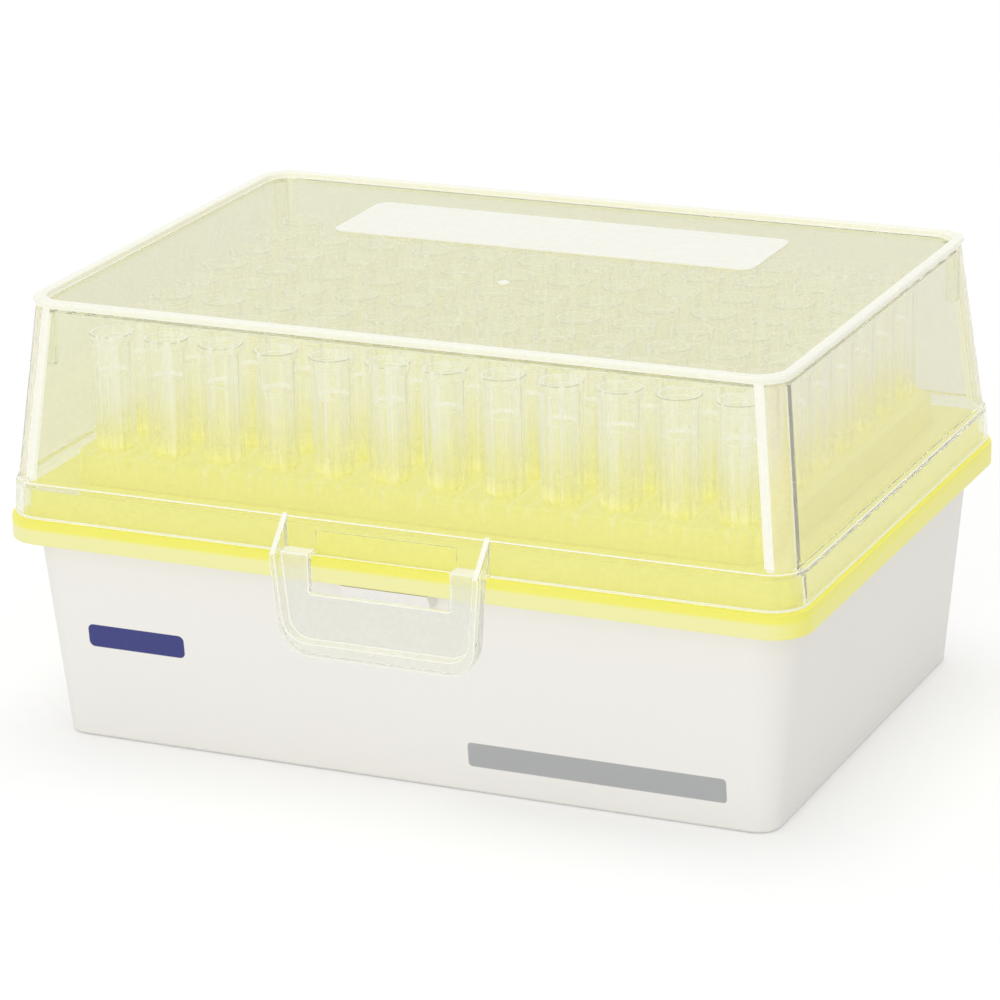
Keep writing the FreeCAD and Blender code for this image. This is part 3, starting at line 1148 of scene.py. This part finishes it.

# %% [markdown]
# ## Plastic of the tips
#
# Bending light through a hundred thin tubes would take very long, so the tips are told by Alpha:
# nearly nothing where a wall is seen square on, much more edge on. Each tip has its own painted
# highlight streaks, which follow from a point's place in its cell of the grid and from the cell's
# number. Near the foot, yellow light from the deck and a glow are painted in.

# %% plastic of the tips
def make_tip_plastic(name, body, square_on, edge_on, streak_alpha):
    """Thin clear wall with painted highlight streaks down it, and painted yellow light and glow from
    the deck near its foot.
    """
    paint = Paint(name)
    places = []
    numbers = []
    for letter, weight in (("X", 7.3), ("Y", 3.1)):
        steps = paint.math("DIVIDE", paint.axis(letter), pitch * MM)
        places.append(paint.math("SUBTRACT", paint.math("FRACT", steps), 0.5))
        numbers.append(paint.math("MULTIPLY", paint.math("FLOOR", steps), weight))
    around = paint.add("CombineXYZ", X=places[0], Y=places[1], Z=paint.math("ADD", *numbers)).outputs[0]
    noise = paint.add("TexNoise", Vector=around, Scale=9, Detail=1).outputs["Fac"]
    # painted highlight: streaks of light down the ridges of each tip
    painted_streak = paint.ramp(noise, 0.53, 0.6)
    # painted light: near the foot the tip takes the deck's yellow light, fading out upwards
    above_deck = paint.along("Z", island_top + 1, island_top + 9)
    clear = paint.mix(painted_streak, screen(*body), screen(255, 255, 252))
    painted_deck_light = paint.mix(painted_streak, screen(243, 239, 122), screen(248, 245, 168))
    paint.feed(Base_Color=paint.mix(above_deck, painted_deck_light, clear),
               Roughness=paint.ramp(painted_streak, 0, 1, 0.12, 0.2))
    # painted glow near the foot
    painted_glow = paint.along("Z", island_top + 5, island_top)
    paint.feed(Emission_Color=paint.mix(painted_glow, (0, 0, 0, 1), screen(96, 93, 26)), Emission_Strength=1.0)
    edge = paint.add("LayerWeight", Blend=0.35).outputs["Facing"]
    wall = paint.ramp(paint.math("MULTIPLY", edge, edge), 0, 1, square_on, edge_on)
    denser = paint.math("ADD", wall, paint.math("MULTIPLY", painted_streak, streak_alpha))
    # near the foot the wall turns nearly opaque, so that the painted light there hides the shade in the
    # holes
    closed = paint.along("Z", island_top + 3.2, island_top + 0.4, 0, 0.9)
    paint.feed(Alpha=paint.math("ADD", denser, closed, clamp=True))
    return paint.material


tip_plastic = make_tip_plastic("tip plastic", (252, 250, 224), 0.17, 0.88, 0.24)
# painted highlight: nearly opaque white on the mouths and ledges
tip_mouth_highlight_plastic = make_tip_plastic("tip plastic, painted highlight on edge", (255, 254, 248), 0.85, 0.98, 0.1)
# painted shade: a dark line round each mouth's outer edge
tip_shade_line_plastic = make_tip_plastic("tip plastic, painted shade line at the lip", (184, 183, 138), 0.8, 0.9, 0.0)
print("materials", len(bpy.data.materials))

# %% [markdown]
# ## Finishes of the hood, painted highlights and painted shade
#
# One moulding shows clear walls and a frosted top, and light and shade are painted on it: edges and
# corners are painted whiter as highlights, and the end walls, back wall and top darker as shade. The
# hood could be cut up, but it is one skin, so each plastic goes to the faces in its place. Where two
# tests overlap, the later one wins.

# %% finishes, painted highlights and painted shade of the hood
def paint_faces(piece, material, test):
    """Gives a material to the faces whose middle and outward direction pass the test."""
    if material.name not in piece.data.materials:
        piece.data.materials.append(material)
    slot_number = piece.data.materials.find(material.name)
    faces = [face for face in piece.data.polygons if test(face.center / MM, face.normal)]
    for face in faces:
        face.material_index = slot_number
    print(piece.name, material.name, "on", len(faces), "faces")


hood.data.materials.append(lid_plastic)
# painted shade on the end walls and the back wall
paint_faces(hood, shaded_end_wall_plastic, lambda at, out: (
    hood_bottom < at.z < bead_bottom and (abs(out.x) > 0.9 or abs(out.y) > 0.9 and at.y > 0)))
# the frosted top, with its painted shade
paint_faces(hood, frosted_top_painted_shade, lambda at, out: at.z > ceiling - 0.2 and abs(out.z) > 0.7)
# painted highlight along the bead, the strip under it and the stacking rim
paint_faces(hood, edge_highlight_plastic, lambda at, out: (
    at.z > strip_bottom and abs(out.z) < 0.95 or at.z > lid_top - near))
# painted highlight on the rounded corners
paint_faces(hood, corner_highlight_plastic, lambda at, out: (
    hood_bottom < at.z < strip_bottom and abs(out.x) > 0.3 and abs(out.y) > 0.3))
# painted highlights: a stripe beside each corner, the line at the skirt's step and the skirt's lower
# edge
paint_faces(hood, edge_highlight_plastic, lambda at, out: (
    hood_bottom < at.z < strip_bottom and 0.05 < abs(out.x) < 0.3 and abs(out.z) < 0.2
    and abs(at.x) > hood_head[0] / 2 - 2 * hood_radius
    or skirt_top - 0.35 < at.z < skirt_top + 0.15 and 0.45 < out.z < 0.72
    or at.z < skirt_bottom + 0.25 and 0.2 < abs(out.z) < 0.93))
paint_faces(hood, polished_plastic, lambda at, out: (
    abs(at.x) < window_width / 2 + near and abs(at.y - relief_face_y) < 0.05 and out.y > 0.9))
paint_faces(hood, plate_plastic, lambda at, out: (
    abs(at.x) < window_width / 2 + near and 0.02 < at.y - relief_face_y < relief_depth
    and skirt_bottom + 0.3 < at.z < skirt_bottom + relief_height + near))

# %% [markdown]
# ## Dressing the pieces
#
# Each piece gets its plastic, rides on its body, and hides the frame's node that it stands for,
# where there is one. The clear pieces cast no shadow: traced through a hundred thin walls, hardly
# any light would reach the inside, which real plastic keeps bright.

# %% pieces, bodies and slots
def dress(piece, material, body, slot_name, *nodes):
    if material is not None:
        piece.data.materials.append(material)
    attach(piece, body)
    if nodes:
        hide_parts(*nodes)


dress(tub, tub_plastic, "rack", "tub_plastic", "base")
deck.data.materials.append(deck_plastic)
# painted glow: the end walls get the stronger glow, which lifts their shade
paint_faces(deck, deck_end_glow_plastic, lambda at, out: abs(out.x) > 0.7 and at.z > rim_top + 0.2)
dress(deck, None, "rack", "deck_plastic", "deck")
dress(hood, None, "lid", "lid_plastic", "lid")
latch.data.materials.append(latch_plastic)
paint_faces(latch, plate_plastic, lambda at, out: (
    abs(out.y) > 0.9 and latch_front - near < at.y < latch_back + near and at.z < window_bottom))
# painted highlight: the front's bevels, the straps' tops, the lower border and the window's sill
paint_faces(latch, edge_highlight_plastic, lambda at, out: (
    0.2 < abs(out.y) < 0.95 and at.y < latch_front + near
    or out.z > 0.4 and at.z > skirt_bottom
    or out.z > 0.3 and at.z < latch_bottom + bottom_border + 0.4
    or out.z > 0.3 and abs(at.z - window_bottom) < 0.3))
dress(latch, None, "lid", "lid_plastic")
for pieces, plastic in (
        ((writing_field, gate_mark), frost), (posts, lid_plastic), (hooks, latch_plastic)):
    for piece in pieces:
        dress(piece, plastic, "lid", "lid_plastic")
for number, column in enumerate(tip_columns):
    column.data.materials.append(tip_plastic)
    # painted highlight on the tips' mouths and ledges
    paint_faces(column, tip_mouth_highlight_plastic, lambda at, out: abs(out.z) > 0.5 and at.z > island_top + 1)
    # painted shade line round the mouths
    paint_faces(column, tip_shade_line_plastic, lambda at, out: 0.3 < out.z < 0.9 and at.z > tip_top - 0.3)
    dress(column, None, "rack", "tip_plastic", "tips_column_%02d" % (number + 1))
for piece in (hood, latch, writing_field, gate_mark, *posts, *hooks, *tip_columns):
    piece.visible_shadow = False
    piece.visible_diffuse = False
print("columns dressed", len(tip_columns))

# %% [markdown]
# ## Floor and sky
#
# The box stands on a pale floor under soft light from all round. Lit that softly, floor and sky
# would look grey, so they add light that only the camera and clear or glossy surfaces see. They
# show white, and the box keeps its shadow.

# %% floor and world
def seen_light(tree, strength):
    """The strength for camera, glossy and see-through rays, and 0 for all others."""
    rays = add_node(tree, "LightPath").outputs
    seen = math_node(tree, "MAXIMUM", rays["Is Camera Ray"], rays["Is Glossy Ray"])
    seen = math_node(tree, "MAXIMUM", seen, rays["Is Transmission Ray"])
    return math_node(tree, "MULTIPLY", seen, strength)


deselect()
bpy.ops.mesh.primitive_plane_add(size=8)
floor = bpy.context.object
floor.name = "floor"
floor_paint = Paint("floor")
floor_flow = floor_paint.group(moulded, Flow_scale=3)["Flow"]
floor_paint.feed(
    Base_Color=floor_paint.mix(floor_flow, (0.9, 0.9, 0.9, 1), (0.91, 0.91, 0.91, 1)),
    Roughness=0.9, Specular_IOR_Level=0.0,
    Emission_Color=(1, 1, 1, 1), Emission_Strength=seen_light(floor_paint.tree, 0.16))
floor.data.materials.append(floor_paint.material)
floor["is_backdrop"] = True

world = bpy.data.worlds.new("studio")
bpy.context.scene.world = world
world.use_nodes = True
sky = world.node_tree
ambient = 0.76
feed(sky, sky.nodes["Background"], {
    "Color": (1, 1, 1, 1), "Strength": math_node(sky, "ADD", seen_light(sky, 1 - ambient), ambient)})
print("floor", round(floor.dimensions.x, 1), "m wide, sky light", ambient)

# %% [markdown]
# ## Lamps
#
# A wide lamp overhead lays the shadow, and a low one lifts the tub's front. The low one would
# show as a white patch on the lid's top, so glossy surfaces don't see it.

# %% lamps
def add_lamp(name, place, size, power):
    """A soft square lamp that looks at the box."""
    bpy.ops.object.light_add(type="AREA", location=place)
    lamp = bpy.context.object
    lamp.name = name
    lamp.data.shape = "SQUARE"
    lamp.data.size = size
    lamp.data.energy = power
    aim = Vector((0, 0, 0.03)) - lamp.location
    lamp.rotation_euler = aim.to_track_quat("-Z", "Y").to_euler()
    return lamp


deselect()
add_lamp("overhead", (-0.1, 0.25, 1.6), 1.2, 5.0)
front_lamp = add_lamp("front", (0.0, -2.0, 0.35), 0.8, 7.0)
front_lamp.visible_glossy = False
print("lamps", [lamp.name for lamp in bpy.data.lights])

# %% [markdown]
# ## Camera and light paths
#
# A long lens keeps the box's edges nearly parallel. It is set by three angles, as on a tripod.
# Light that runs out of bounces among the clear walls ends in black, so the limits are raised.

# %% camera
lens = 160.418
eye = Vector((0.26205043, -0.58304775, 0.24633638))
heading, tilt, roll = -0.42491, -0.32459, -0.02276
ahead = Vector((math.sin(heading) * math.cos(tilt), math.cos(heading) * math.cos(tilt), math.sin(tilt)))
level = Vector((math.cos(heading), -math.sin(heading), 0))
upward = level.cross(ahead)
right = level * math.cos(roll) + upward * math.sin(roll)
up = -level * math.sin(roll) + upward * math.cos(roll)
bpy.ops.object.camera_add(location=eye)
camera = bpy.context.object
camera.data.lens = lens
camera.data.sensor_width = 36
camera.data.clip_start = 0.01
turned = Matrix((right, up, -ahead)).transposed()
camera.rotation_euler = turned.to_euler()
bpy.context.scene.camera = camera
bpy.context.scene.view_settings.view_transform = "Standard"
light_paths = bpy.context.scene.cycles
light_paths.transparent_max_bounces = 80
light_paths.max_bounces = light_paths.transmission_bounces = light_paths.glossy_bounces = 32
print("camera looks along", [round(value, 3) for value in ahead])

# %% [markdown]
# ## The dressed model's box
#
# How far the dressed model stays inside the box of the solids is printed axis by axis, so that
# anything that strays outside that box shows at once.

# %% sizes and finish
new_low, new_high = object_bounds()
for letter, *ends in zip("xyz", cad_low, new_low, new_high, cad_high):
    print(letter, "inside by", round((ends[1] - ends[0]) / MM, 3), round((ends[3] - ends[2]) / MM, 3))
